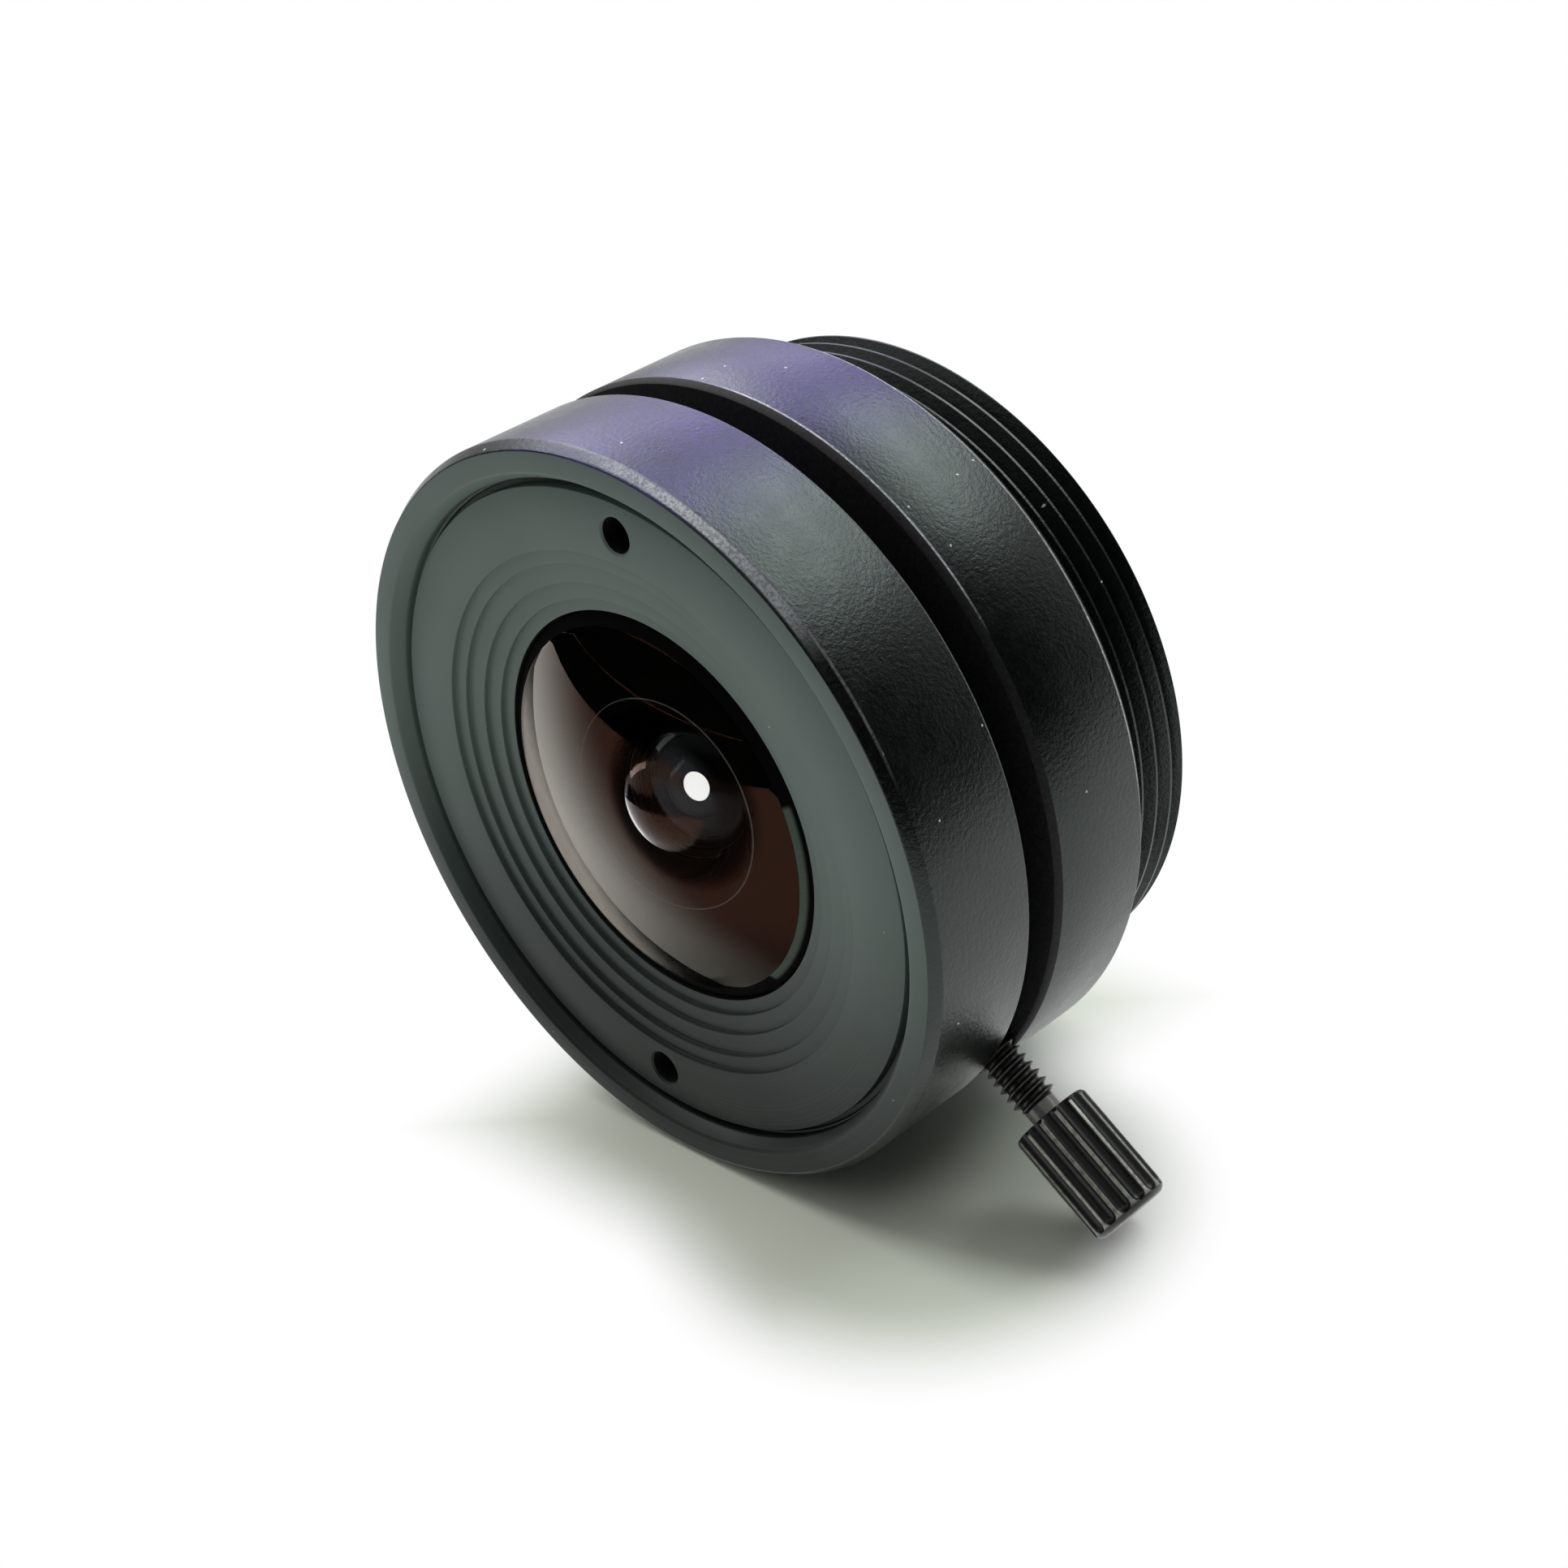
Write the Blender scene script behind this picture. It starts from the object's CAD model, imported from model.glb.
from math import asin, atan2, cos, hypot, pi, radians, sin, sqrt

import bmesh
import bpy
from bpy.props import FloatProperty, FloatVectorProperty, IntProperty, PointerProperty
from bpy.types import Operator, Panel, PropertyGroup
from mathutils import Matrix, Vector


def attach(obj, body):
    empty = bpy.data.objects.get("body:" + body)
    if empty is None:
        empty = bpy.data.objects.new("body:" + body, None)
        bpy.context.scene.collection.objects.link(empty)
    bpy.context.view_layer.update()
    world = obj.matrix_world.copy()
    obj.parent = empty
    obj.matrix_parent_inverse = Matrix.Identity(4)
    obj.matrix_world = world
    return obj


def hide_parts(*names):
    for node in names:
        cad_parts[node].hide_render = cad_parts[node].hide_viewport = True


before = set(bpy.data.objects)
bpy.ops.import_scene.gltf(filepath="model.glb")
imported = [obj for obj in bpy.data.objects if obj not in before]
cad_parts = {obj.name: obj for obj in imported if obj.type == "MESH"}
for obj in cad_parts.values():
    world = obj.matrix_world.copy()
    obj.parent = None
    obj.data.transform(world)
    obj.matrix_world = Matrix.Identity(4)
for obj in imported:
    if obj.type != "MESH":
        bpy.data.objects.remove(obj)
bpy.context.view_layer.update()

bl_info = {
    "name": "Small screw-mount camera lens",
    "version": (1, 0, 0),
    "blender": (4, 5, 0),
    "location": "View3D > Sidebar > Lens",
    "description": "Dresses a small manual camera lens: rings, front plate, glass, thread and thumb screw",
    "category": "Object",
}

# Lengths are in millimetres, and depths run back from the lens's front face, unless a comment says otherwise
MM = 0.001  # in metres
AXIS = 0.0004  # radius that stands for zero, because a ring of points can't grow out of a single one
MERGE = 1e-6  # two points closer than this, in metres, are one
INCH = 25.4
RING_RADIUS = 14.0  # outside of both big rings
FLANGE = 10.9  # depth of the flange face, where the frame has its origin
FLOOR = -RING_RADIUS * MM  # height of the table, in metres
SCREW_DEPTH = 5.60
SCREW_DOWN = radians(38.11192)  # how far the thumb screw points below the horizontal
SCREW_CREST = 0.80  # outside radius of the thumb screw's thread
KNOB_RADIUS = 1.50
KNOB_START = 16.60  # distance of the knob from the optical axis


def y_of(depth):
    """Place on the optical axis, in metres, of a depth in millimetres behind the front face."""
    return (depth - FLANGE) * MM


def along(distance):
    """A distance along the thumb screw, in metres."""
    return distance * MM


def sag(radius, reach):
    """Depth of a spherical surface at the distance reach from the axis."""
    return radius - sqrt(radius * radius - reach * reach)


def arc(radius, start, end, centre_depth):
    """Points on the front of a sphere, from one distance off the axis to another, in even angles."""
    steps = 40
    first = asin(start / radius)
    last = asin(end / radius)
    points = []
    for step in range(steps + 1):
        angle = first + (last - first) * step / steps
        points.append((max(radius * sin(angle), AXIS), centre_depth - radius * cos(angle)))
    return points


def lens_face(radius, edge, depth, bulge):
    """Points of a glass face from its middle to its edge, at depth. It bulges forward (-1) or back (1)."""
    steps = 16
    middle = depth + bulge * sag(radius, edge)
    reaches = [max(edge * step / steps, AXIS) for step in range(steps + 1)]
    return [(reach, middle - bulge * sag(radius, reach)) for reach in reaches]


def lens_outline(front, back, rim):
    """Outline of a small glass from its two faces and the radius of its rim, which may lie outside them."""
    shoulders = [(rim, depth) for radius, edge, depth, bulge in (front, back) if edge < rim]
    return lens_face(*front) + shoulders + lens_face(*back)[::-1]


def deselect():
    """Leaves nothing selected, so that the next tool acts on the new piece alone."""
    bpy.ops.object.select_all(action="DESELECT")


def only(piece):
    """Selects one piece and makes it the active one."""
    deselect()
    piece.select_set(True)
    bpy.context.view_layer.objects.active = piece


def pick(piece, chosen):
    """Selects the chosen vertices alone, in edit mode."""
    mesh = bmesh.from_edit_mesh(piece.data)
    for vertex in mesh.verts:
        vertex.select = vertex.index in chosen
    mesh.select_flush_mode()
    bmesh.update_edit_mesh(piece.data)


def shade(piece, sharp):
    """Shades a piece smooth, except at the edges that bend by more than sharp degrees."""
    only(piece)
    bpy.ops.object.shade_smooth_by_angle(angle=radians(sharp))


def turn(name, outline, sides, place=y_of):
    """Turns a piece on the Y axis: a circle is extruded from point to point of (radius, depth) in mm."""
    deselect()
    radius, depth = outline[0]
    bpy.ops.mesh.primitive_circle_add(
        vertices=sides, radius=radius * MM, location=(0, place(depth), 0), rotation=(pi / 2, 0, 0)
    )
    piece = bpy.context.object
    piece.name = name
    bpy.ops.object.transform_apply()
    bpy.ops.object.mode_set(mode="EDIT")
    bpy.ops.mesh.select_all(action="SELECT")
    for (near, front), (far, back) in zip(outline, outline[1:]):
        step = place(back) - place(front)
        bpy.ops.mesh.extrude_region_move(TRANSFORM_OT_translate={"value": (0, step, 0)})
        if far != near:
            grow = far / near
            bpy.ops.transform.resize(value=(grow, 1, grow), center_override=(0, place(back), 0))
    bpy.ops.mesh.select_all(action="SELECT")
    bpy.ops.mesh.remove_doubles(threshold=MERGE)
    bpy.ops.mesh.normals_make_consistent(inside=False)
    bpy.ops.object.mode_set(mode="OBJECT")
    return piece


def soften(piece, width, segments=3):
    """Rounds the sharp edges of a piece, then shades it smooth."""
    only(piece)
    bevel = piece.modifiers.new("Edge", "BEVEL")
    bevel.width = width * MM
    bevel.segments = segments
    bevel.limit_method = "ANGLE"
    bevel.angle_limit = radians(25)
    bevel.miter_outer = "MITER_ARC"
    bpy.ops.object.modifier_apply(modifier=bevel.name)
    shade(piece, 35)


def combine(piece, tool, operation):
    """Cuts or joins one piece with another, then throws the tool away."""
    only(piece)
    boolean = piece.modifiers.new("Cut", "BOOLEAN")
    boolean.operation = operation
    boolean.solver = "EXACT"
    boolean.object = tool
    bpy.ops.object.modifier_apply(modifier=boolean.name)
    bpy.data.objects.remove(tool, do_unlink=True)


def mend(piece):
    """Merges doubled points and drops faces of no width that a join leaves behind."""
    only(piece)
    bpy.ops.object.mode_set(mode="EDIT")
    bpy.ops.mesh.select_all(action="SELECT")
    bpy.ops.mesh.remove_doubles(threshold=MERGE)
    bpy.ops.mesh.dissolve_degenerate(threshold=MERGE)
    bpy.ops.object.mode_set(mode="OBJECT")


def coil(name, section, pitch, turns, steps, start):
    """Winds a closed section, (radius, along) in mm, into a helix round the Y axis and caps its ends."""
    deselect()
    bpy.ops.mesh.primitive_circle_add(vertices=len(section), radius=MM)
    piece = bpy.context.object
    piece.name = name
    corners = [Vector(vertex.co) for vertex in piece.data.vertices]
    bpy.ops.object.mode_set(mode="EDIT")
    bpy.ops.mesh.select_mode(type="VERT")
    for index, (radius, distance) in enumerate(section):
        pick(piece, {index})
        target = Vector((radius * MM, distance * MM + start, 0))
        bpy.ops.transform.translate(value=target - corners[index])
    bpy.ops.object.mode_set(mode="OBJECT")
    screw = piece.modifiers.new("Thread", "SCREW")
    screw.axis = "Y"
    screw.angle = 2 * pi
    screw.screw_offset = pitch * MM
    screw.iterations = turns
    screw.steps = steps
    screw.render_steps = steps
    screw.use_merge_vertices = True
    screw.merge_threshold = MERGE / 10
    bpy.ops.object.modifier_apply(modifier=screw.name)
    bpy.ops.object.mode_set(mode="EDIT")
    bpy.ops.mesh.select_mode(type="EDGE")
    bpy.ops.mesh.select_all(action="DESELECT")
    bpy.ops.mesh.select_non_manifold()
    bpy.ops.mesh.edge_face_add()
    bpy.ops.mesh.select_mode(type="VERT")
    bpy.ops.mesh.select_all(action="SELECT")
    bpy.ops.mesh.normals_make_consistent(inside=False)
    bpy.ops.object.mode_set(mode="OBJECT")
    return piece


def mount_groove(sizes, crest):
    """The tool that cuts the mount thread: the groove between its ridges, wound round the axis."""
    pitch = INCH / 32
    flat = 0.10
    over = 0.10
    deep = sizes.thread_depth / MM
    wide = (pitch - flat) / 2
    narrow = 0.05
    flare = (wide - narrow) / deep * over
    section = (
        (crest + over, -wide - flare), (crest + over, wide + flare),
        (crest - deep, narrow), (crest - deep, -narrow),
    )
    groove = coil("groove", section, pitch, turns=5, steps=sizes.sides, start=y_of(11.30))
    only(groove)
    groove.rotation_euler = (0, radians(119.0), 0)
    bpy.ops.object.transform_apply()
    return groove


def press_flutes(piece, count, flute, centre, end):
    """Draws the knob's outside in along each flute, a channel of radius flute that ends round at end."""
    only(piece)
    bpy.ops.object.mode_set(mode="EDIT")
    bpy.ops.mesh.select_mode(type="VERT")
    pitch = 2 * pi / count
    inner = 1.2
    least = 0.001
    groups = {}
    for vertex in bmesh.from_edit_mesh(piece.data).verts:
        x, y, z = (part / MM for part in vertex.co)
        radius = hypot(x, z)
        past = max(y - end, 0.0)
        if radius < inner or y < KNOB_START - 0.1 or past >= flute:
            continue
        off = abs((atan2(x, z) / pitch) % 1.0 - 0.5) * pitch
        reach = sqrt(flute * flute - past * past)
        across = centre * sin(off)
        if across >= reach:
            continue
        pressed = centre * cos(off) - sqrt(reach * reach - across * across)
        if pressed < radius - least:
            groups.setdefault(round(pressed / radius, 4), set()).add(vertex.index)
    for factor, chosen in groups.items():
        pick(piece, chosen)
        bpy.ops.transform.resize(value=(factor, 1, factor), center_override=(0, 0, 0))
    bpy.ops.object.mode_set(mode="OBJECT")


class Socket:
    """Wraps one output of a shader node, so that maths on it reads as plain maths."""

    def __init__(self, bench, output):
        self.bench = bench
        self.output = output

    def maths(self, operation, *values):
        """The result of a Math node on sockets and plain numbers."""
        return self.bench.node("ShaderNodeMath", {"operation": operation}, dict(enumerate(values)))

    def most(self, other):
        """The greater of two values."""
        return self.maths("MAXIMUM", self, other)

    def __abs__(self):
        return self.maths("ABSOLUTE", self)

    def __add__(self, other):
        return self.maths("ADD", self, other)

    def __radd__(self, other):
        return self.maths("ADD", other, self)

    def __sub__(self, other):
        return self.maths("SUBTRACT", self, other)

    def __rsub__(self, other):
        return self.maths("SUBTRACT", other, self)

    def __mul__(self, other):
        return self.maths("MULTIPLY", self, other)

    def __rmul__(self, other):
        return self.maths("MULTIPLY", other, self)

    def __pow__(self, other):
        return self.maths("POWER", self, other)

    def __rpow__(self, other):
        return self.maths("POWER", other, self)

    def __gt__(self, other):
        return self.maths("GREATER_THAN", self, other)

    def __lt__(self, other):
        return self.maths("LESS_THAN", self, other)


class Bench:
    """Builds one material's nodes."""

    def __init__(self, name):
        self.material = bpy.data.materials.new(name)
        self.material.use_nodes = True
        self.tree = self.material.node_tree
        self.tree.nodes.clear()
        self.spot = None
        self.output = self.tree.nodes.new("ShaderNodeOutputMaterial")

    def node(self, kind, settings=None, inputs=None, out=0):
        """Adds a node, with its settings first and then its sockets' values or links. Gives one output."""
        made = self.tree.nodes.new(kind)
        for key, value in (settings or {}).items():
            setattr(made, key, value)
        for key, value in (inputs or {}).items():
            if isinstance(value, Socket):
                self.tree.links.new(value.output, made.inputs[key])
            elif isinstance(value, tuple) and len(value) == 3 and made.inputs[key].type == "RGBA":
                made.inputs[key].default_value = (*value, 1.0)
            else:
                made.inputs[key].default_value = value
        return Socket(self, made.outputs[out])

    def place(self):
        """Object coordinates in metres."""
        if self.spot is None:
            self.spot = self.node("ShaderNodeTexCoord", out="Object")
        return self.spot

    def axes(self):
        """The three object coordinates, in millimetres."""
        parts = self.node("ShaderNodeSeparateXYZ", {}, {0: self.place()}).output.node.outputs
        return [Socket(self, part) * (1 / MM) for part in parts]

    def slant(self):
        """How far a surface turns away from the eye: 0 face on, 1 edge on."""
        return self.node("ShaderNodeLayerWeight", {}, {"Blend": 0.5}, "Facing")

    def noise(self, grain, detail=2.0, rough=0.5):
        """Noise whose features are about grain millimetres across."""
        inputs = {"Vector": self.place(), "Scale": 1 / (grain * MM), "Detail": detail, "Roughness": rough}
        return self.node("ShaderNodeTexNoise", {}, inputs)

    def cells(self, grain, vector, out="Distance"):
        """Flat cells on a pair of measures in millimetres, spaced about grain apart."""
        inputs = {"Vector": vector, "Scale": 1.0 / grain}
        return self.node("ShaderNodeTexVoronoi", {"voronoi_dimensions": "2D"}, inputs, out)

    def fade(self, value, low, high, first=0.0, last=1.0):
        """Goes smoothly from first to last while the value goes from low to high."""
        settings = {"interpolation_type": "SMOOTHSTEP", "clamp": True}
        inputs = {0: value, 1: low, 2: high, 3: first, 4: last}
        return self.node("ShaderNodeMapRange", settings, inputs)

    def blend(self, factor, first, second):
        """Mixes two colours by a factor."""
        return self.node("ShaderNodeMix", {"data_type": "RGBA"}, {0: factor, 6: first, 7: second}, 2)

    def band(self, value, low, high, soft):
        """One between low and high, falling off over soft on each side."""
        return self.fade(value, low - soft, low) * self.fade(value, high, high + soft, 1.0, 0.0)

    def bump(self, height, strength, distance, normal=None):
        """Relief from a height, over a distance in millimetres."""
        inputs = {"Height": height, "Strength": strength, "Distance": distance * MM}
        if normal is not None:
            inputs["Normal"] = normal
        return self.node("ShaderNodeBump", {}, inputs)

    def shader(self, **values):
        """A finish, with its constants set on its own sockets."""
        inputs = {key.replace("_", " "): value for key, value in values.items()}
        return self.node("ShaderNodeBsdfPrincipled", {}, inputs)

    def mix(self, factor, first, second):
        """Mixes two finishes by a factor."""
        return self.node("ShaderNodeMixShader", {}, {0: factor, 1: first, 2: second})

    def finish(self, shader):
        """Makes a shader the material's surface."""
        self.tree.links.new(shader.output, self.output.inputs["Surface"])
        return self.material

    def surface(self, **values):
        """A material of one finish."""
        return self.finish(self.shader(**values))


def dress(piece, material, *others):
    """Gives a piece its finish. Each of the others is a finish and a test of radius and depth in mm."""
    piece.data.materials.clear()
    piece.data.materials.append(material)
    for slot, (other, belongs) in enumerate(others, 1):
        piece.data.materials.append(other)
        for face in piece.data.polygons:
            x, y, z = face.center
            if belongs(hypot(x, z) / MM, y / MM + FLANGE):
                face.material_index = slot


def finish_node(node, material):
    """Gives a carried-over node its finish, without touching its mesh."""
    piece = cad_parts[node]
    if not piece.material_slots:
        piece.data.materials.append(material)
    for slot in piece.material_slots:
        slot.material = material


def round_angle(bench):
    """Angle round the optical axis in degrees: 0 at +X, 90 at +Z."""
    x, _, z = bench.axes()
    return x.maths("ARCTAN2", z, x) * (180 / pi)


def from_axis(bench):
    """Distance from the optical axis in millimetres."""
    x, _, z = bench.axes()
    return (x * x + z * z) ** 0.5


def dust(bench, first, second, spacing, size, share):
    """Sparse specks on two measures in millimetres: one in a cell where that cell is chosen."""
    spot = bench.node("ShaderNodeCombineXYZ", {}, {0: first, 1: second})
    ragged = bench.fade(bench.noise(0.05), 0.3, 0.7, 0.7, 1.5)
    near = bench.cells(spacing, spot) * ragged
    chosen = bench.node("ShaderNodeSeparateColor", {}, {0: bench.cells(spacing, spot, "Color")})
    return (near < size / spacing) * (chosen > 1 - share)


def blasted_black(name, colours, wear_rows, specked, chipped):
    """Bead-blasted black anodising: fine grain, sparkles, violet dye on top, edges worn to bare metal.

    A row of wear holds the first and last depth of a worn band, its softness, its first and last angle
    and its strength. Specked and chipped are the shares of places with a bright speck or a chip.
    """
    bench = Bench(name)
    depth = bench.axes()[1] + FLANGE
    angle = round_angle(bench)
    grain = bench.noise(0.17, 3.0, 0.70)
    coarse = bench.noise(0.9)
    cloud = bench.noise(5.0, 3.0)
    upwards = bench.fade(angle, 56.0, 76.0) * bench.fade(angle, 84.0, 112.0, 1.0, 0.0)
    sheen = bench.fade(bench.slant(), 0.08, 0.30, 0.25, 1.0)
    patchy = bench.fade(cloud, 0.25, 0.62, 0.55, 1.0)
    before_flange = bench.fade(depth, FLANGE - 0.4, FLANGE - 0.1, 1.0, 0.0)
    violet = upwards * sheen * patchy * before_flange
    base = bench.blend(violet, tuple(colours.black), tuple(colours.violet))
    base = bench.blend(bench.fade(grain, 0.48, 0.75), base, tuple(colours.grain))
    worn = None
    edges = None
    for low, high, soft, from_angle, to_angle, strength in wear_rows:
        row = bench.band(depth, low, high, soft) * bench.band(angle, from_angle, to_angle, 12.0)
        edges = row if edges is None else edges.most(row)
        row = row * strength
        worn = row if worn is None else worn.most(row)
    scratch = bench.fade(bench.noise(0.10, 3.0, 0.6), 0.36, 0.60, 0.50, 1.0)
    patch = bench.fade(bench.noise(1.6), 0.3, 0.6, 0.75, 1.0)
    worn = worn * scratch * patch
    base = bench.blend(worn, base, tuple(colours.bare))
    round_way = angle * (RING_RADIUS * pi / 180)
    specks = dust(bench, round_way, depth, 1.9, 0.045, specked)
    chips = dust(bench, round_way, depth, 0.60, 0.055, chipped) * edges
    base = bench.blend(specks.most(chips), base, (0.85, 0.86, 0.84))
    return bench.surface(
        Base_Color=base,
        Roughness=bench.fade(coarse, 0.3, 0.7, 0.27, 0.32) - worn * 0.04,
        Normal=bench.bump(grain, 0.85, 0.024),
        IOR=1.55,
        Specular_Tint=(0.86, 1.0, 0.94, 1.0),
    )


def turned_plate(name, colours):
    """Satin black front plate: fine lathe lines round the axis, a grey bloom on the face."""
    bench = Bench(name)
    x, _, z = bench.axes()
    lines_per_mm = 14.0
    lathe = {"W": from_axis(bench) * lines_per_mm, "Scale": 1.0, "Detail": 3.0}
    lines = bench.node("ShaderNodeTexNoise", {"noise_dimensions": "1D"}, lathe)
    cloud = bench.noise(4.0, 3.0)
    dots = bench.noise(0.09)
    bloom = bench.fade(z + cloud * 3.0, -10.0, 4.5)
    base = bench.blend(bloom, tuple(colours.plate), tuple(colours.plate_bloom))
    base = bench.blend(bench.fade(lines, 0.55, 0.8) * 0.10, base, (0.20, 0.22, 0.21))
    specks = dust(bench, x, z, 2.3, 0.030, 0.06)
    base = bench.blend(specks, base, (0.5, 0.5, 0.48))
    relief = bench.bump(lines, 0.10, 0.004)
    return bench.surface(
        Base_Color=base,
        Roughness=bench.fade(cloud, 0.3, 0.7, 0.42, 0.50),
        Normal=bench.bump(dots, 0.12, 0.004, relief),
        IOR=1.5,
        Specular_IOR_Level=0.25,
    )


def dull_black(name, colours):
    """Dull blackening on the pieces inside the barrel."""
    bench = Bench(name)
    fine = bench.noise(0.12)
    base = bench.blend(bench.fade(fine, 0.35, 0.7), tuple(colours.inside), (0.016, 0.016, 0.017))
    relief = bench.bump(fine, 0.25, 0.006)
    return bench.surface(Base_Color=base, Roughness=0.6, Normal=relief, IOR=1.45, Specular_IOR_Level=0.25)


def black_screw(name, colours):
    """Blackened screw: soft sheen, ridge tops rubbed to bare metal."""
    bench = Bench(name)
    x, y, z = bench.axes()
    out = x * cos(SCREW_DOWN) - z * sin(SCREW_DOWN)
    side = x * sin(SCREW_DOWN) + z * cos(SCREW_DOWN)
    along_y = y + (FLANGE - SCREW_DEPTH)
    radius = (side * side + along_y * along_y) ** 0.5
    fine = bench.noise(0.10, 3.0, 0.6)
    drawn = bench.noise(0.25, 3.0, 0.6)
    on_knob = bench.fade(out, KNOB_START + 0.05, KNOB_START + 0.20)
    ridge = bench.fade(radius, KNOB_RADIUS - 0.045, KNOB_RADIUS - 0.005) * on_knob
    neck = bench.band(out, 16.12, 16.62, 0.05) * bench.fade(radius, 0.9, 1.0, 1.0, 0.0)
    crest = bench.fade(radius, SCREW_CREST - 0.035, SCREW_CREST) * bench.fade(out, 16.15, 16.2, 1.0, 0.0)
    rubbed = (ridge * 0.90 + crest * 0.25) * bench.fade(drawn, 0.3, 0.62, 0.45, 1.0) + neck * 0.55
    return bench.surface(
        Base_Color=bench.blend(rubbed, tuple(colours.screw), tuple(colours.screw_rubbed)),
        Metallic=rubbed * 0.3,
        Roughness=bench.fade(drawn, 0.3, 0.7, 0.30, 0.42) - neck * 0.10,
        Normal=bench.bump(fine, 0.25, 0.006),
        IOR=1.5,
    )


def clear_glass(bench, tint, colour, bend):
    """Polished glass of slightly cloudy clearness, with its refraction and the tint of its reflections."""
    cloud = bench.noise(1.2, 3.0)
    base = bench.blend(bench.fade(cloud, 0.3, 0.7), colour, tuple(min(1.0, part * 1.02) for part in colour))
    return bench.shader(
        Base_Color=base, Roughness=0.0, IOR=bend, Transmission_Weight=1.0, Specular_Tint=(*tint, 1.0)
    )


def coated_glass(name, tint, colour):
    """Clear glass with a coating that gives reflections its own tint."""
    bench = Bench(name)
    return bench.finish(clear_glass(bench, tint, colour, 1.52))


def dome_glass(name, colours):
    """The front glass: its coating mirrors in brown, more strongly at a slant; dust lies at its left rim."""
    bench = Bench(name)
    x, y, z = bench.axes()
    slant = bench.slant()
    bend = 1.85
    body = clear_glass(bench, tuple(colours.coating), (0.985, 0.975, 0.96), bend)
    see_through = {"Color": (0.98, 0.97, 0.96), "Roughness": 0.0, "IOR": bend}
    clear = bench.node("ShaderNodeBsdfRefraction", {}, see_through)
    brown = bench.blend(bench.fade(slant, 0.40, 0.66), tuple(colours.mirrored), (1.0, 0.93, 0.84))
    mirror = bench.shader(Base_Color=brown, Metallic=1.0, Roughness=0.0)
    radius = (x * x + z * z) ** 0.5
    amount = bench.fade(slant, 0.42, 0.80, 0.15, 0.32) * bench.fade(z, -6.5, -1.0, 0.35, 1.0)
    right = bench.fade(x, 1.0, 3.5)
    high = bench.fade(z, 1.0, 3.0)
    inside_rim = bench.fade(radius, 6.3, 6.6, 1.0, 0.0) * bench.fade(slant, 0.68, 0.80, 1.0, 0.2)
    amount = amount * right.most(high.most(inside_rim))
    across = x - 2.7
    above = z - 1.6
    from_clear_spot = (across * across + above * above) ** 0.5
    amount = amount * bench.fade(from_clear_spot, 2.6, 3.4, 0.15, 1.0)
    coated = bench.mix(amount, clear, mirror)
    inside = bench.node("ShaderNodeNewGeometry", out="Backfacing")
    outside = (y < y_of(1.3) / MM) * (1.0 - inside)
    left = bench.fade(x * 0.8 + z * 0.1, -3.6, -0.2, 1.0, 0.05)
    smear = bench.fade(bench.noise(0.5, 4.0, 0.6), 0.25, 0.75, 0.9, 1.06)
    thin_rim = bench.fade(radius, 6.6, 6.95, 1.0, 0.6)
    film = bench.fade(slant, 0.62, 0.77) * left * smear * thin_rim * outside * 0.60
    dusty = bench.shader(Base_Color=(0.84, 0.73, 0.72), Roughness=1.0, Specular_IOR_Level=0.0)
    return bench.finish(bench.mix(film, bench.mix(outside, body, coated), dusty))


def edge_ink():
    """Black ink on the edges and shoulders of the glasses, which kills stray light."""
    if "edge_ink" in bpy.data.materials:
        return bpy.data.materials["edge_ink"]
    bench = Bench("edge_ink")
    fine = bench.noise(0.2)
    base = bench.blend(bench.fade(fine, 0.3, 0.7), (0.0015, 0.0015, 0.0015), (0.003, 0.003, 0.003))
    return bench.surface(Base_Color=base, Roughness=0.8, Specular_IOR_Level=0.05)


def ground_bevel():
    """Finely ground bevel round the front glass."""
    bench = Bench("ground_bevel")
    fine = bench.noise(0.05, 3.0)
    lit_side = bench.band(round_angle(bench), -46.0, 17.0, 2.0)
    inner_half = bench.fade(from_axis(bench), 7.12, 7.28, 1.0, 0.0)
    bare = lit_side * bench.fade(fine, 0.3, 0.7, 0.8, 1.0) * inner_half
    base = bench.blend(bare, (0.002, 0.002, 0.002), (0.13, 0.16, 0.145))
    relief = bench.bump(fine, 0.1, 0.003)
    return bench.surface(Base_Color=base, Roughness=0.7, Normal=relief, Specular_IOR_Level=0.03)


def ground_rim():
    """Pale ground edge of the hollow behind the front glass."""
    bench = Bench("ground_rim")
    fine = bench.noise(0.05, 3.0)
    base = bench.blend(bench.fade(fine, 0.3, 0.7), (0.30, 0.30, 0.28), (0.42, 0.42, 0.40))
    return bench.surface(Base_Color=base, Roughness=0.6, IOR=1.5)


def plain_finish(name, first, second, grain, rough, metallic=0.0):
    """A plain finish with a fine two-tone grain."""
    bench = Bench(name)
    fine = bench.noise(grain, 3.0)
    base = bench.blend(bench.fade(fine, 0.3, 0.7), first, second)
    relief = bench.bump(fine, 0.2, 0.01)
    return bench.surface(Base_Color=base, Roughness=rough, Metallic=metallic, Normal=relief)


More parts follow.
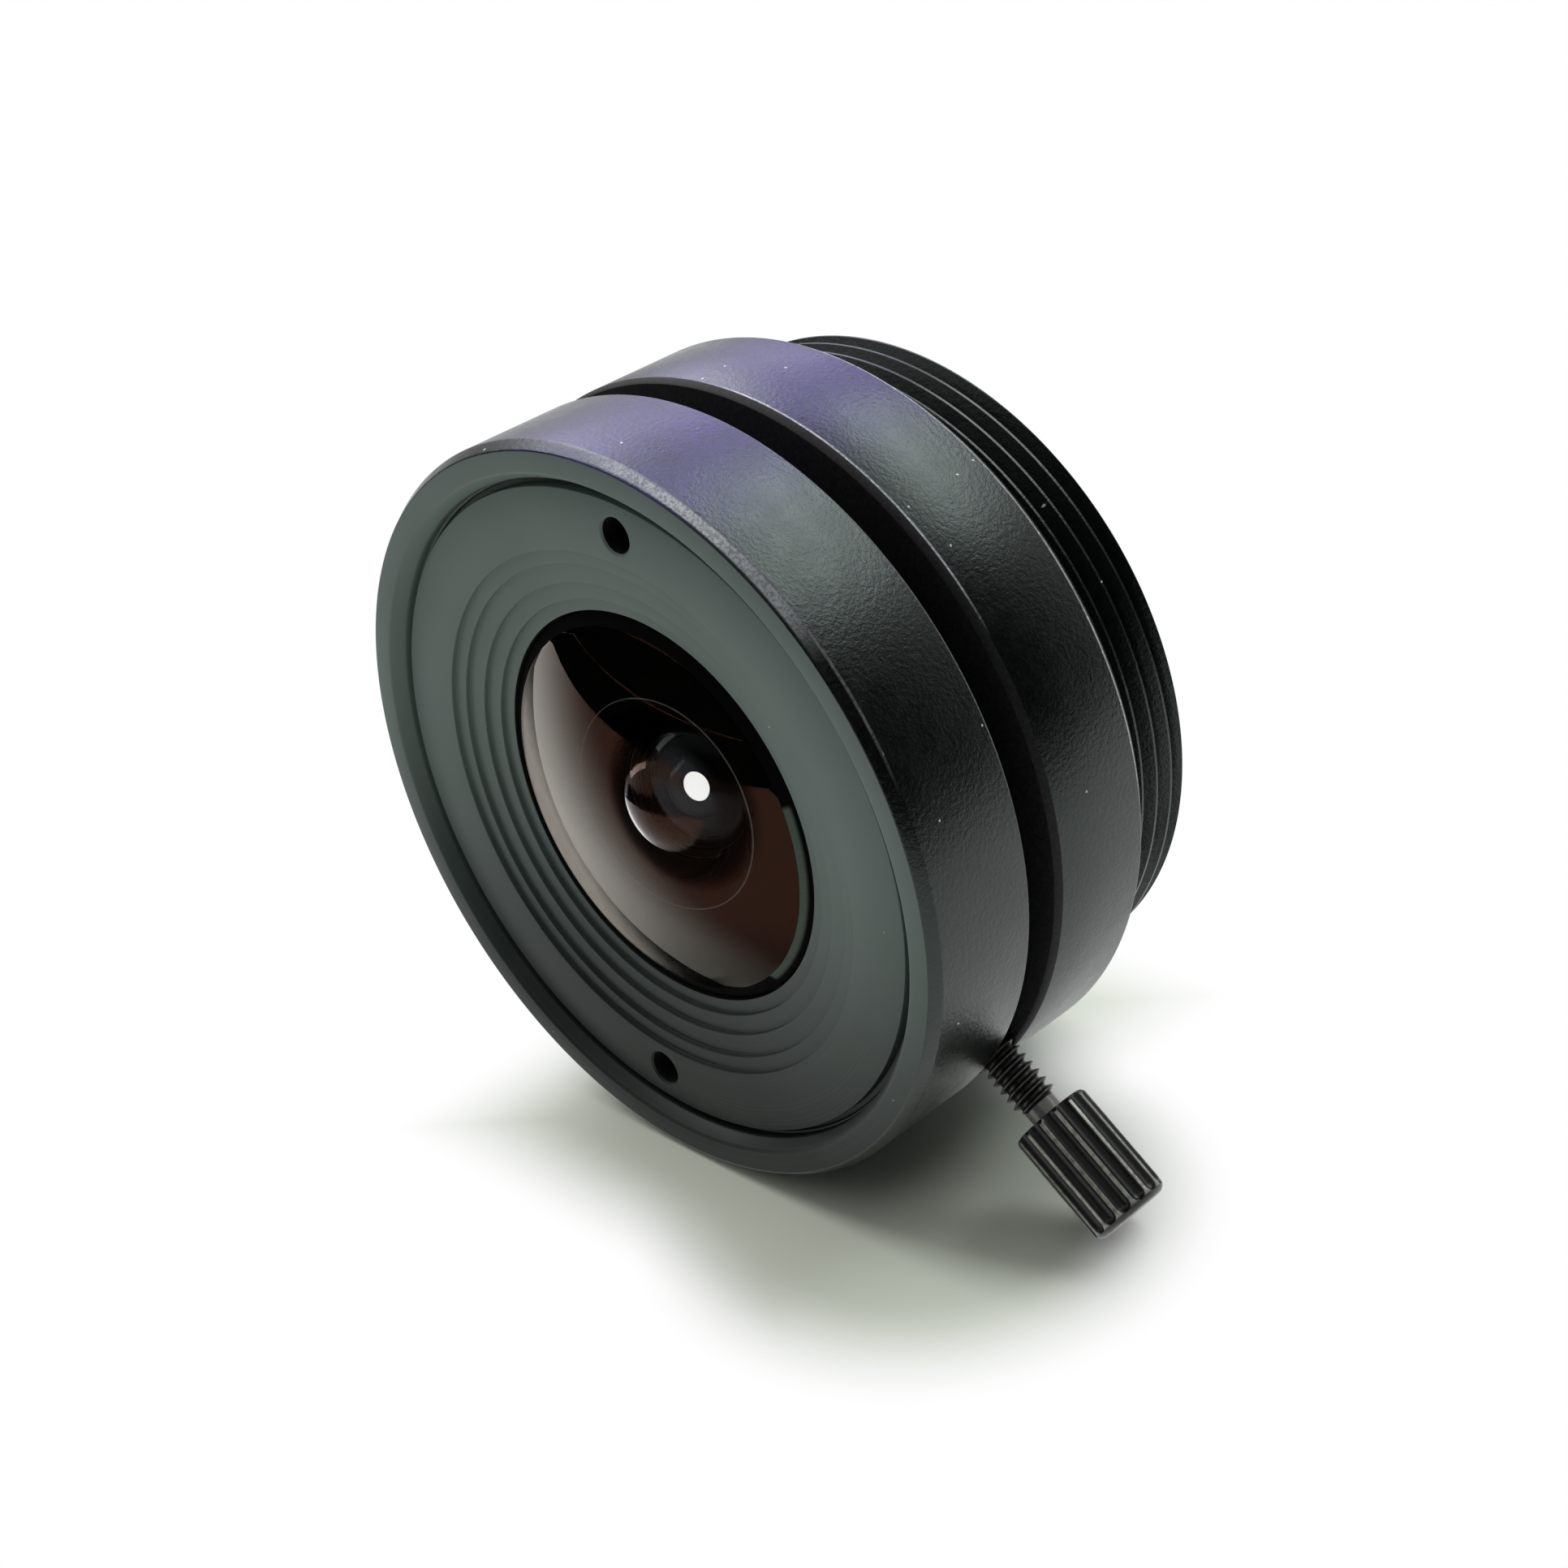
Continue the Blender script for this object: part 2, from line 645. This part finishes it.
def floor_finish(colours):
    """Pale smooth paper, which washes out to white away from the lens's shadow."""
    bench = Bench("pale_table")
    cloud = bench.noise(9.0, 3.0)
    pale = tuple(colours.floor)
    base = bench.blend(bench.fade(cloud, 0.3, 0.7), pale, tuple(part * 0.995 for part in pale))
    paper = bench.shader(Base_Color=base, Roughness=0.9, Specular_IOR_Level=0.1)
    white = bench.node("ShaderNodeEmission", {}, {"Color": (1.0, 1.0, 1.0), "Strength": 1.0})
    x, y, _ = bench.axes()
    across = x - 9.2
    away = y + 7.8
    from_shadow = (across * across + away * away) ** 0.5
    beside = bench.fade(abs(x), 5.0, 11.0)
    ahead = bench.fade(abs(y + 4.0), 8.0, 13.0)
    clear = beside.most(ahead)
    camera, glossy, through = (
        bench.node("ShaderNodeLightPath", out=name)
        for name in ("Is Camera Ray", "Is Glossy Ray", "Is Transmission Ray")
    )
    seen = camera.most(through) * bench.fade(from_shadow, 5.5, 11.0) * clear
    mirrored = glossy * bench.fade(from_shadow, 3.0, 8.0) * (clear * 0.6 + 0.4)
    return bench.finish(bench.mix(seen.most(mirrored), paper, white))


def card_finish():
    """Black card that keeps light off the shaded side."""
    bench = Bench("black_card")
    cloud = bench.noise(20.0)
    base = bench.blend(cloud, (0.002, 0.002, 0.002), (0.003, 0.003, 0.003))
    return bench.surface(Base_Color=base, Roughness=1.0, Specular_IOR_Level=0.0)


class LensSizes(PropertyGroup):
    """Sizes of the lens's own pieces that a user would change."""

    sides: IntProperty(
        name="Sides", description="Faces round each big turned piece", default=288, min=96, max=512,
    )
    edge: FloatProperty(
        name="Edge round", description="Rounding of the turned edges",
        default=0.045 * MM, unit="LENGTH", precision=5,
    )
    thread_depth: FloatProperty(
        name="Thread depth", description="Depth of the mount thread",
        default=0.48 * MM, unit="LENGTH", precision=5,
    )
    flutes: IntProperty(
        name="Flutes", description="Flutes round the thumb screw's knob", default=14, min=6, max=40,
    )
    dome: FloatProperty(
        name="Dome height", description="How far the front glass stands out of its rim",
        default=1.53 * MM, unit="LENGTH", precision=5,
    )


class LensColours(PropertyGroup):
    """Colours of the finishes."""

    black: FloatVectorProperty(
        name="Anodised black", description="Blasted black of both rings",
        subtype="COLOR", default=(0.0025, 0.0035, 0.003),
    )
    violet: FloatVectorProperty(
        name="Violet dye", description="Violet cast of the black on top",
        subtype="COLOR", default=(0.045, 0.022, 0.185),
    )
    grain: FloatVectorProperty(
        name="Blast grain", description="Bright points of the blasted grain",
        subtype="COLOR", default=(0.009, 0.012, 0.011),
    )
    bare: FloatVectorProperty(
        name="Bare metal", description="Worn edges",
        subtype="COLOR", default=(0.72, 0.74, 0.80),
    )
    plate: FloatVectorProperty(
        name="Front plate", description="Satin black of the front plate",
        subtype="COLOR", default=(0.014, 0.020, 0.017),
    )
    plate_bloom: FloatVectorProperty(
        name="Plate bloom", description="Greyer patches of the plate",
        subtype="COLOR", default=(0.150, 0.190, 0.185),
    )
    inside: FloatVectorProperty(
        name="Inner black", description="Blackened inner pieces",
        subtype="COLOR", default=(0.007, 0.007, 0.008),
    )
    screw: FloatVectorProperty(
        name="Screw black", description="Blackened screw",
        subtype="COLOR", default=(0.008, 0.009, 0.007),
    )
    screw_rubbed: FloatVectorProperty(
        name="Rubbed screw", description="Ridges where the black has rubbed off",
        subtype="COLOR", default=(0.52, 0.52, 0.47),
    )
    coating: FloatVectorProperty(
        name="Coating", description="Tint of reflections in the front glass",
        subtype="COLOR", default=(0.27, 0.12, 0.07),
    )
    mirrored: FloatVectorProperty(
        name="Mirrored brown", description="Tint of what the front glass mirrors",
        subtype="COLOR", default=(0.16, 0.070, 0.045),
    )
    floor: FloatVectorProperty(
        name="Floor", description="Colour of the floor",
        subtype="COLOR", default=(0.87, 0.93, 0.80),
    )


def place_floor(colours):
    """Lays the table that the lens rests on."""
    deselect()
    bpy.ops.mesh.primitive_circle_add(vertices=128, radius=3.0, fill_type="NGON", location=(0, 0, FLOOR))
    floor = bpy.context.object
    floor.name = "table"
    bpy.ops.object.transform_apply()
    dress(floor, floor_finish(colours))


def place_cards():
    """Sets up the dark cards that the camera doesn't see. Places and sizes are in metres."""
    card = card_finish()
    low = FLOOR + MM
    rows = (
        ("card_front", (0.35, -0.9, 0.39), (pi / 2, 0, 0), (1.0, 0.80)),
        ("card_low", (-0.50, -0.9, 0.13), (pi / 2, 0, 0), (0.7, 0.28)),
        ("card_right", (0.85, 0.1, 0.60), (pi / 2, 0, pi / 2), (2.0, 1.22)),
        ("card_left", (-0.85, -0.58, 0.13), (pi / 2, 0, pi / 2), (0.66, 0.28)),
        ("card_floor", (-0.06, -0.485, low), (0, 0, radians(-12)), (1.6, 0.80)),
        ("card_side", (0.49, 0.30, low), (0, 0, 0), (0.80, 1.60)),
    )
    for name, at, turned, (width, height) in rows:
        deselect()
        bpy.ops.mesh.primitive_plane_add(size=1.0, location=at, rotation=turned)
        plane = bpy.context.object
        plane.name = name
        plane.scale = (width, height, 1)
        bpy.ops.object.transform_apply()
        plane.visible_camera = False
        dress(plane, card)


def place_lamps():
    """Hangs the soft lamps, which point at the lens. Places and sizes are in metres, power in watts."""
    rows = (
        ("lamp_back", (0.05, 0.76, 0.92), 5.6, (0.95, 0.45), (0.94, 0.98, 1.0)),
        ("lamp_violet", (-0.80, 0.66, 0.46), 1.5, (0.60, 0.50), (0.74, 0.70, 1.0)),
        ("lamp_left", (-0.90, 0.10, 0.95), 11.0, (1.2, 0.8), (1.0, 0.985, 0.97)),
    )
    for name, at, power, (width, height), colour in rows:
        deselect()
        aim = (-Vector(at)).to_track_quat("-Z", "Y").to_euler()
        bpy.ops.object.light_add(type="AREA", location=at, rotation=aim)
        lamp = bpy.context.object
        lamp.name = name
        lamp.data.shape = "RECTANGLE"
        lamp.data.size = width
        lamp.data.size_y = height
        lamp.data.energy = power
        lamp.data.color = colour
        lamp.visible_camera = False


def light_room(scene):
    """Fills the room with an even white light."""
    room = bpy.data.worlds.new("studio")
    room.use_nodes = True
    backdrop = room.node_tree.nodes["Background"]
    backdrop.inputs["Color"].default_value = (1.0, 1.0, 1.0, 1.0)
    backdrop.inputs["Strength"].default_value = 0.5
    scene.world = room


def place_camera(scene):
    """Sets up the camera, from the directions of its right, its top and its back."""
    right = Vector((0.70770, 0.69557, -0.12388))
    up = Vector((-0.26527, 0.42412, 0.86588))
    back = Vector((0.65482, -0.57992, 0.48466))
    facing = Matrix((right, up, back)).transposed().to_euler()
    bpy.ops.object.camera_add(location=(0.065553, -0.061679, 0.046611), rotation=facing)
    camera = bpy.context.object
    camera.name = "camera"
    camera.data.sensor_width = 36.0
    camera.data.lens = 63.146
    camera.data.clip_start = 0.005
    camera.data.clip_end = 20.0
    scene.camera = camera
    scene.view_settings.view_transform = "Standard"


class LENS_OT_stage(Operator):
    """Sets up the floor, the dark cards, the studio light and the camera"""

    bl_idname = "lens.stage"
    bl_label = "Stage"

    def execute(self, context):
        place_floor(context.scene.lens_colours)
        place_cards()
        place_lamps()
        light_room(context.scene)
        place_camera(context.scene)
        return {"FINISHED"}


class LENS_OT_focus_ring(Operator):
    """Turns the focus ring, with its rounded inner lip and worn front chamfer"""

    bl_idname = "lens.focus_ring"
    bl_label = "Focus ring"

    def execute(self, context):
        sizes = context.scene.lens_sizes
        colours = context.scene.lens_colours
        # The point partway along the outside keeps the shading of the long side even
        outline = (
            (12.50, 3.40), (12.50, 0.85), (12.60, 0.85), (12.60, 0.50), (12.85, 0.10), (12.95, 0.0),
            (13.75, 0.0), (RING_RADIUS, 0.40), (RING_RADIUS, 2.0), (RING_RADIUS, 4.63), (13.90, 4.73),
            (11.95, 4.73), (11.95, 3.40), (12.50, 3.40),
        )
        piece = turn("focus_ring_finished", outline, sizes.sides)
        soften(piece, sizes.edge / MM)
        wear = (
            (0.10, 0.34, 0.06, 64.0, 74.0, 1.0),
            (0.10, 0.36, 0.05, 52.0, 78.0, 0.70),
            (0.35, 0.41, 0.03, 32.0, 84.0, 0.30),
            (4.60, 4.68, 0.02, 20.0, 110.0, 0.20),
        )
        dress(
            piece,
            blasted_black("blasted_front", colours, wear, specked=0.04, chipped=0.04),
            (turned_plate("turned_lip", colours), lambda radius, depth: radius < 13.68 and depth < 0.9),
        )
        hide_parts("focus_ring")
        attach(piece, "focus_group")
        return {"FINISHED"}


class LENS_OT_front_plate(Operator):
    """Turns the front plate with its terraces and drills the two spanner holes"""

    bl_idname = "lens.front_plate"
    bl_label = "Front plate"

    def execute(self, context):
        sizes = context.scene.lens_sizes
        colours = context.scene.lens_colours
        front = 0.50
        step = 0.20
        terraces = (8.00, 8.68, 9.46, 10.02)
        bottom = front + step * len(terraces)
        opening = 7.50
        outline = [(opening, 1.75), (opening, bottom)]
        for risen, radius in enumerate(terraces):
            outline += [(radius, bottom - step * risen), (radius, bottom - step * (risen + 1))]
        outline += [
            (12.30, front), (12.30, 0.95), (12.50, 0.95), (12.50, 2.40), (8.75, 2.40), (8.75, 1.75),
            (opening, 1.75),
        ]
        edge = 0.03
        piece = turn("front_plate_finished", outline, sizes.sides)
        soften(piece, edge)
        circle = 11.1
        hole = 0.65
        chamfer = 0.09
        mouth = front - 0.02
        above = -1.0
        holes = [(circle * cos(radians(angle)), circle * sin(radians(angle))) for angle in (84.0, 264.0)]
        bit = (
            (AXIS, above), (hole + chamfer, above), (hole + chamfer, mouth), (hole, mouth + chamfer),
            (hole, 1.70), (AXIS, 1.85),
        )
        for at_x, at_z in holes:
            drill = turn("drill", bit, sides=48)
            only(drill)
            drill.location = (at_x * MM, 0, at_z * MM)
            bpy.ops.object.transform_apply()
            combine(piece, drill, "DIFFERENCE")
        shade(piece, 35)
        bore = dull_black("blackened_bore", colours)
        dress(piece, turned_plate("turned_black", colours))
        piece.data.materials.append(bore)
        for face in piece.data.polygons:
            x, y, z = (part / MM for part in face.center)
            near_hole = any(hypot(x - at_x, z - at_z) < hole + 0.02 for at_x, at_z in holes)
            if (near_hole and y + FLANGE > mouth + 0.08) or y + FLANGE > bottom + edge:
                face.material_index = 1
        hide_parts("front_plate")
        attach(piece, "focus_group")
        return {"FINISHED"}


class LENS_OT_front_glass(Operator):
    """Turns the big domed front glass with its ground bevel and deep hollow"""

    bl_idname = "lens.front_glass"
    bl_label = "Front glass"

    def execute(self, context):
        sizes = context.scene.lens_sizes
        rise = sizes.dome / MM
        edge = 6.97
        edge_depth = 1.17
        side = 7.42
        side_depth = 1.45
        back = 3.90
        ball = 3.73
        rim = 3.40
        rim_depth = 3.86
        outer_rim = rim + 0.03
        near = 0.01
        curve = (edge * edge + rise * rise) / (2 * rise)
        dome = arc(curve, 0.0, edge, edge_depth - rise + curve)
        hollow = arc(ball, rim, 0.0, rim_depth - sag(ball, rim) + ball)
        shoulder = [(side, side_depth), (side, 1.95), (8.20, 1.95), (8.20, back), (outer_rim, back)]
        piece = turn("front_glass_finished", dome + shoulder + hollow, sides=192)
        shade(piece, 20)

        def inked(radius, depth):
            return radius > side - near or (depth > back - near and radius > outer_rim)

        def bevelled(radius, depth):
            return edge < radius < side - near and edge_depth < depth < side_depth + near

        def rimmed(radius, depth):
            return rim < radius < outer_rim and rim_depth - near < depth < back + near

        dress(
            piece,
            dome_glass("front_glass_coating", context.scene.lens_colours),
            (edge_ink(), inked),
            (ground_bevel(), bevelled),
            (ground_rim(), rimmed),
        )
        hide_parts("front_element")
        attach(piece, "focus_group")
        return {"FINISHED"}


class LENS_OT_inner_glasses(Operator):
    """Turns the smaller glasses that show through the front glass"""

    bl_idname = "lens.inner_glasses"
    bl_label = "Inner glasses"

    def execute(self, context):
        front = -1
        rear = 1
        wide = 4.95
        slim = 4.35
        bond = 6.5
        bond_depth = 11.30 - sag(bond, slim)
        gap = 0.004
        # Each face has its radius of curvature, its edge, the depth of that edge and the side it bulges to
        rows = {
            "second_element": ((25.0, 4.10, 4.60, front), (5.4, 3.10, 5.90, front), wide),
            "third_element": ((10.3, 3.90, 6.45, front), (10.0, 3.90, 7.40, rear), wide),
            "doublet_front": ((20.0, 3.90, 9.40, front), (bond, slim, bond_depth - gap, rear), slim),
            "doublet_rear": ((bond, slim, bond_depth, rear), (30.0, 3.90, 11.80, rear), slim),
            "rear_element": ((18.0, 3.90, 12.70, front), (18.0, 3.90, 13.40, rear), slim),
        }
        finish = coated_glass("inner_glass_coating", (0.12, 0.13, 0.15), (0.99, 0.99, 0.985))
        ink = edge_ink()
        for node, (front_face, rear_face, rim) in rows.items():
            piece = turn(node + "_finished", lens_outline(front_face, rear_face, rim), sides=128)
            shade(piece, 20)
            dress(piece, finish, (ink, lambda radius, depth: radius > 4.12))
            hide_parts(node)
            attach(piece, "focus_group")
        return {"FINISHED"}


class LENS_OT_rear_body(Operator):
    """Turns the rear body and cuts its outside mount thread"""

    bl_idname = "lens.rear_body"
    bl_label = "Rear body"

    def execute(self, context):
        sizes = context.scene.lens_sizes
        colours = context.scene.lens_colours
        bore = 9.53
        sleeve = 11.80
        crest = INCH / 2
        # The point partway along the outside keeps the shading of the long side even
        outline = (
            (bore, 3.70), (sleeve, 3.70), (sleeve, 6.06), (13.87, 6.06), (RING_RADIUS, 6.36),
            (RING_RADIUS, 8.5), (RING_RADIUS, 10.48), (13.65, FLANGE), (12.80, FLANGE), (12.80, 10.75),
            (12.10, 10.75), (12.10, 11.72), (crest, 12.02), (crest, 14.47), (12.42, 14.75), (10.90, 14.75),
            (10.90, 12.10), (bore, 12.10), (bore, 3.70),
        )
        piece = turn("rear_body_finished", outline, sizes.sides)
        soften(piece, sizes.edge / MM, segments=2)
        combine(piece, mount_groove(sizes, crest), "DIFFERENCE")
        shade(piece, 30)
        worn_from = 6.29
        wear = (
            (worn_from, 6.43, 0.03, 44.0, 80.0, 1.0),
            (10.45, 10.55, 0.03, 8.0, 80.0, 0.75),
        )
        shadowed = dull_black("blackened_groove", colours)
        dress(
            piece,
            blasted_black("blasted_rear", colours, wear, specked=0.22, chipped=0.70),
            (shadowed, lambda radius, depth: radius < sleeve + 0.05 or depth < worn_from),
        )
        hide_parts("mount_base")
        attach(piece, "base")
        return {"FINISHED"}


class LENS_OT_thumb_screw(Operator):
    """Turns the thumb screw, winds its thread and presses the flutes into its knob"""

    bl_idname = "lens.thumb_screw"
    bl_label = "Thumb screw"

    def execute(self, context):
        sizes = context.scene.lens_sizes
        sides_per_flute = 24
        tip = 21.0
        corner = 0.35
        flute = 0.30
        flute_centre = 1.61
        flute_end = 20.56
        outline = [
            (AXIS, 10.02), (0.47, 10.02), (0.55, 10.10), (0.55, 10.30), (0.60, 10.36), (0.60, 16.08),
            (0.62, 16.10), (0.62, 16.58), (0.64, KNOB_START), (1.33, KNOB_START), (1.40, 16.63),
            (1.46, 16.69), (KNOB_RADIUS, 16.78),
        ]
        # Rings of points along the knob, closer together where the flutes end round
        outline += [(KNOB_RADIUS, place) for place in (18.0, 19.4, 20.20, 20.40, 20.52, 20.58, 20.62, 20.65)]
        for angle in (7, 14, 21, 28, 35, 42, 50, 60, 70, 80, 90):
            radius = KNOB_RADIUS - corner + corner * cos(radians(angle))
            outline.append((radius, tip - corner + corner * sin(radians(angle))))
        outline += [(0.9, tip), (AXIS, tip)]
        piece = turn("thumb_screw_finished", outline, sizes.flutes * sides_per_flute, along)
        press_flutes(piece, sizes.flutes, flute, flute_centre, flute_end)
        section = ((0.56, -0.15), (SCREW_CREST, -0.025), (SCREW_CREST, 0.025), (0.56, 0.15))
        ridge = coil("ridge", section, pitch=0.35, turns=16, steps=64, start=along(10.42))
        combine(piece, ridge, "UNION")
        mend(piece)
        piece.matrix_world = (
            Matrix.Translation((0, y_of(SCREW_DEPTH), 0))
            @ Matrix.Rotation(SCREW_DOWN, 4, "Y")
            @ Matrix.Rotation(-pi / 2, 4, "Z")
        )
        bpy.ops.object.transform_apply()
        shade(piece, 32)
        dress(piece, black_screw("blackened_screw", context.scene.lens_colours))
        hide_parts("lock_screw")
        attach(piece, "thumb_screw")
        return {"FINISHED"}


class LENS_OT_carried_nodes(Operator):
    """Gives the nodes that stay as they are their finishes"""

    bl_idname = "lens.carried_nodes"
    bl_label = "Carried nodes"

    def execute(self, context):
        black = dull_black("blackened_inside", context.scene.lens_colours)
        rubber = plain_finish(
            "seal_rubber", (0.010, 0.010, 0.011), (0.018, 0.018, 0.018), grain=0.15, rough=0.75
        )
        brass = plain_finish(
            "brass_pad", (0.72, 0.53, 0.25), (0.62, 0.44, 0.19), grain=0.10, rough=0.35, metallic=1.0
        )
        for node in (
            "lens_barrel", "front_group_ring", "front_spacer", "aperture_disc", "stop_spacer", "rear_spacer",
            "rear_retaining_ring", "travel_stop_ring",
        ):
            finish_node(node, black)
        finish_node("front_seal", rubber)
        finish_node("damping_ring", rubber)
        finish_node("lock_pad", brass)
        return {"FINISHED"}


class LENS_PT_panel(Panel):
    """Lists the lens's pieces, sizes and colours"""

    bl_idname = "LENS_PT_panel"
    bl_label = "Camera lens"
    bl_space_type = "VIEW_3D"
    bl_region_type = "UI"
    bl_category = "Lens"

    def draw(self, context):
        for operator in OPERATORS:
            self.layout.operator(operator.bl_idname)
        for group in (context.scene.lens_sizes, context.scene.lens_colours):
            box = self.layout.box()
            for name in group.bl_rna.properties.keys():
                if name not in ("rna_type", "name"):
                    box.prop(group, name)


OPERATORS = (
    LENS_OT_stage,
    LENS_OT_focus_ring,
    LENS_OT_front_plate,
    LENS_OT_front_glass,
    LENS_OT_inner_glasses,
    LENS_OT_rear_body,
    LENS_OT_thumb_screw,
    LENS_OT_carried_nodes,
)
CLASSES = (LensSizes, LensColours) + OPERATORS + (LENS_PT_panel,)


def register():
    """Makes the sizes, colours, operators and panel known to Blender."""
    for made in CLASSES:
        bpy.utils.register_class(made)
    bpy.types.Scene.lens_sizes = PointerProperty(type=LensSizes)
    bpy.types.Scene.lens_colours = PointerProperty(type=LensColours)


def unregister():
    """Takes them away again."""
    del bpy.types.Scene.lens_colours
    del bpy.types.Scene.lens_sizes
    for made in reversed(CLASSES):
        bpy.utils.unregister_class(made)


def main():
    """Builds the stage and every piece."""
    register()
    bpy.ops.lens.stage()
    bpy.ops.lens.focus_ring()
    bpy.ops.lens.front_plate()
    bpy.ops.lens.front_glass()
    bpy.ops.lens.inner_glasses()
    bpy.ops.lens.rear_body()
    bpy.ops.lens.thumb_screw()
    bpy.ops.lens.carried_nodes()


if __name__ == "__main__":
    main()
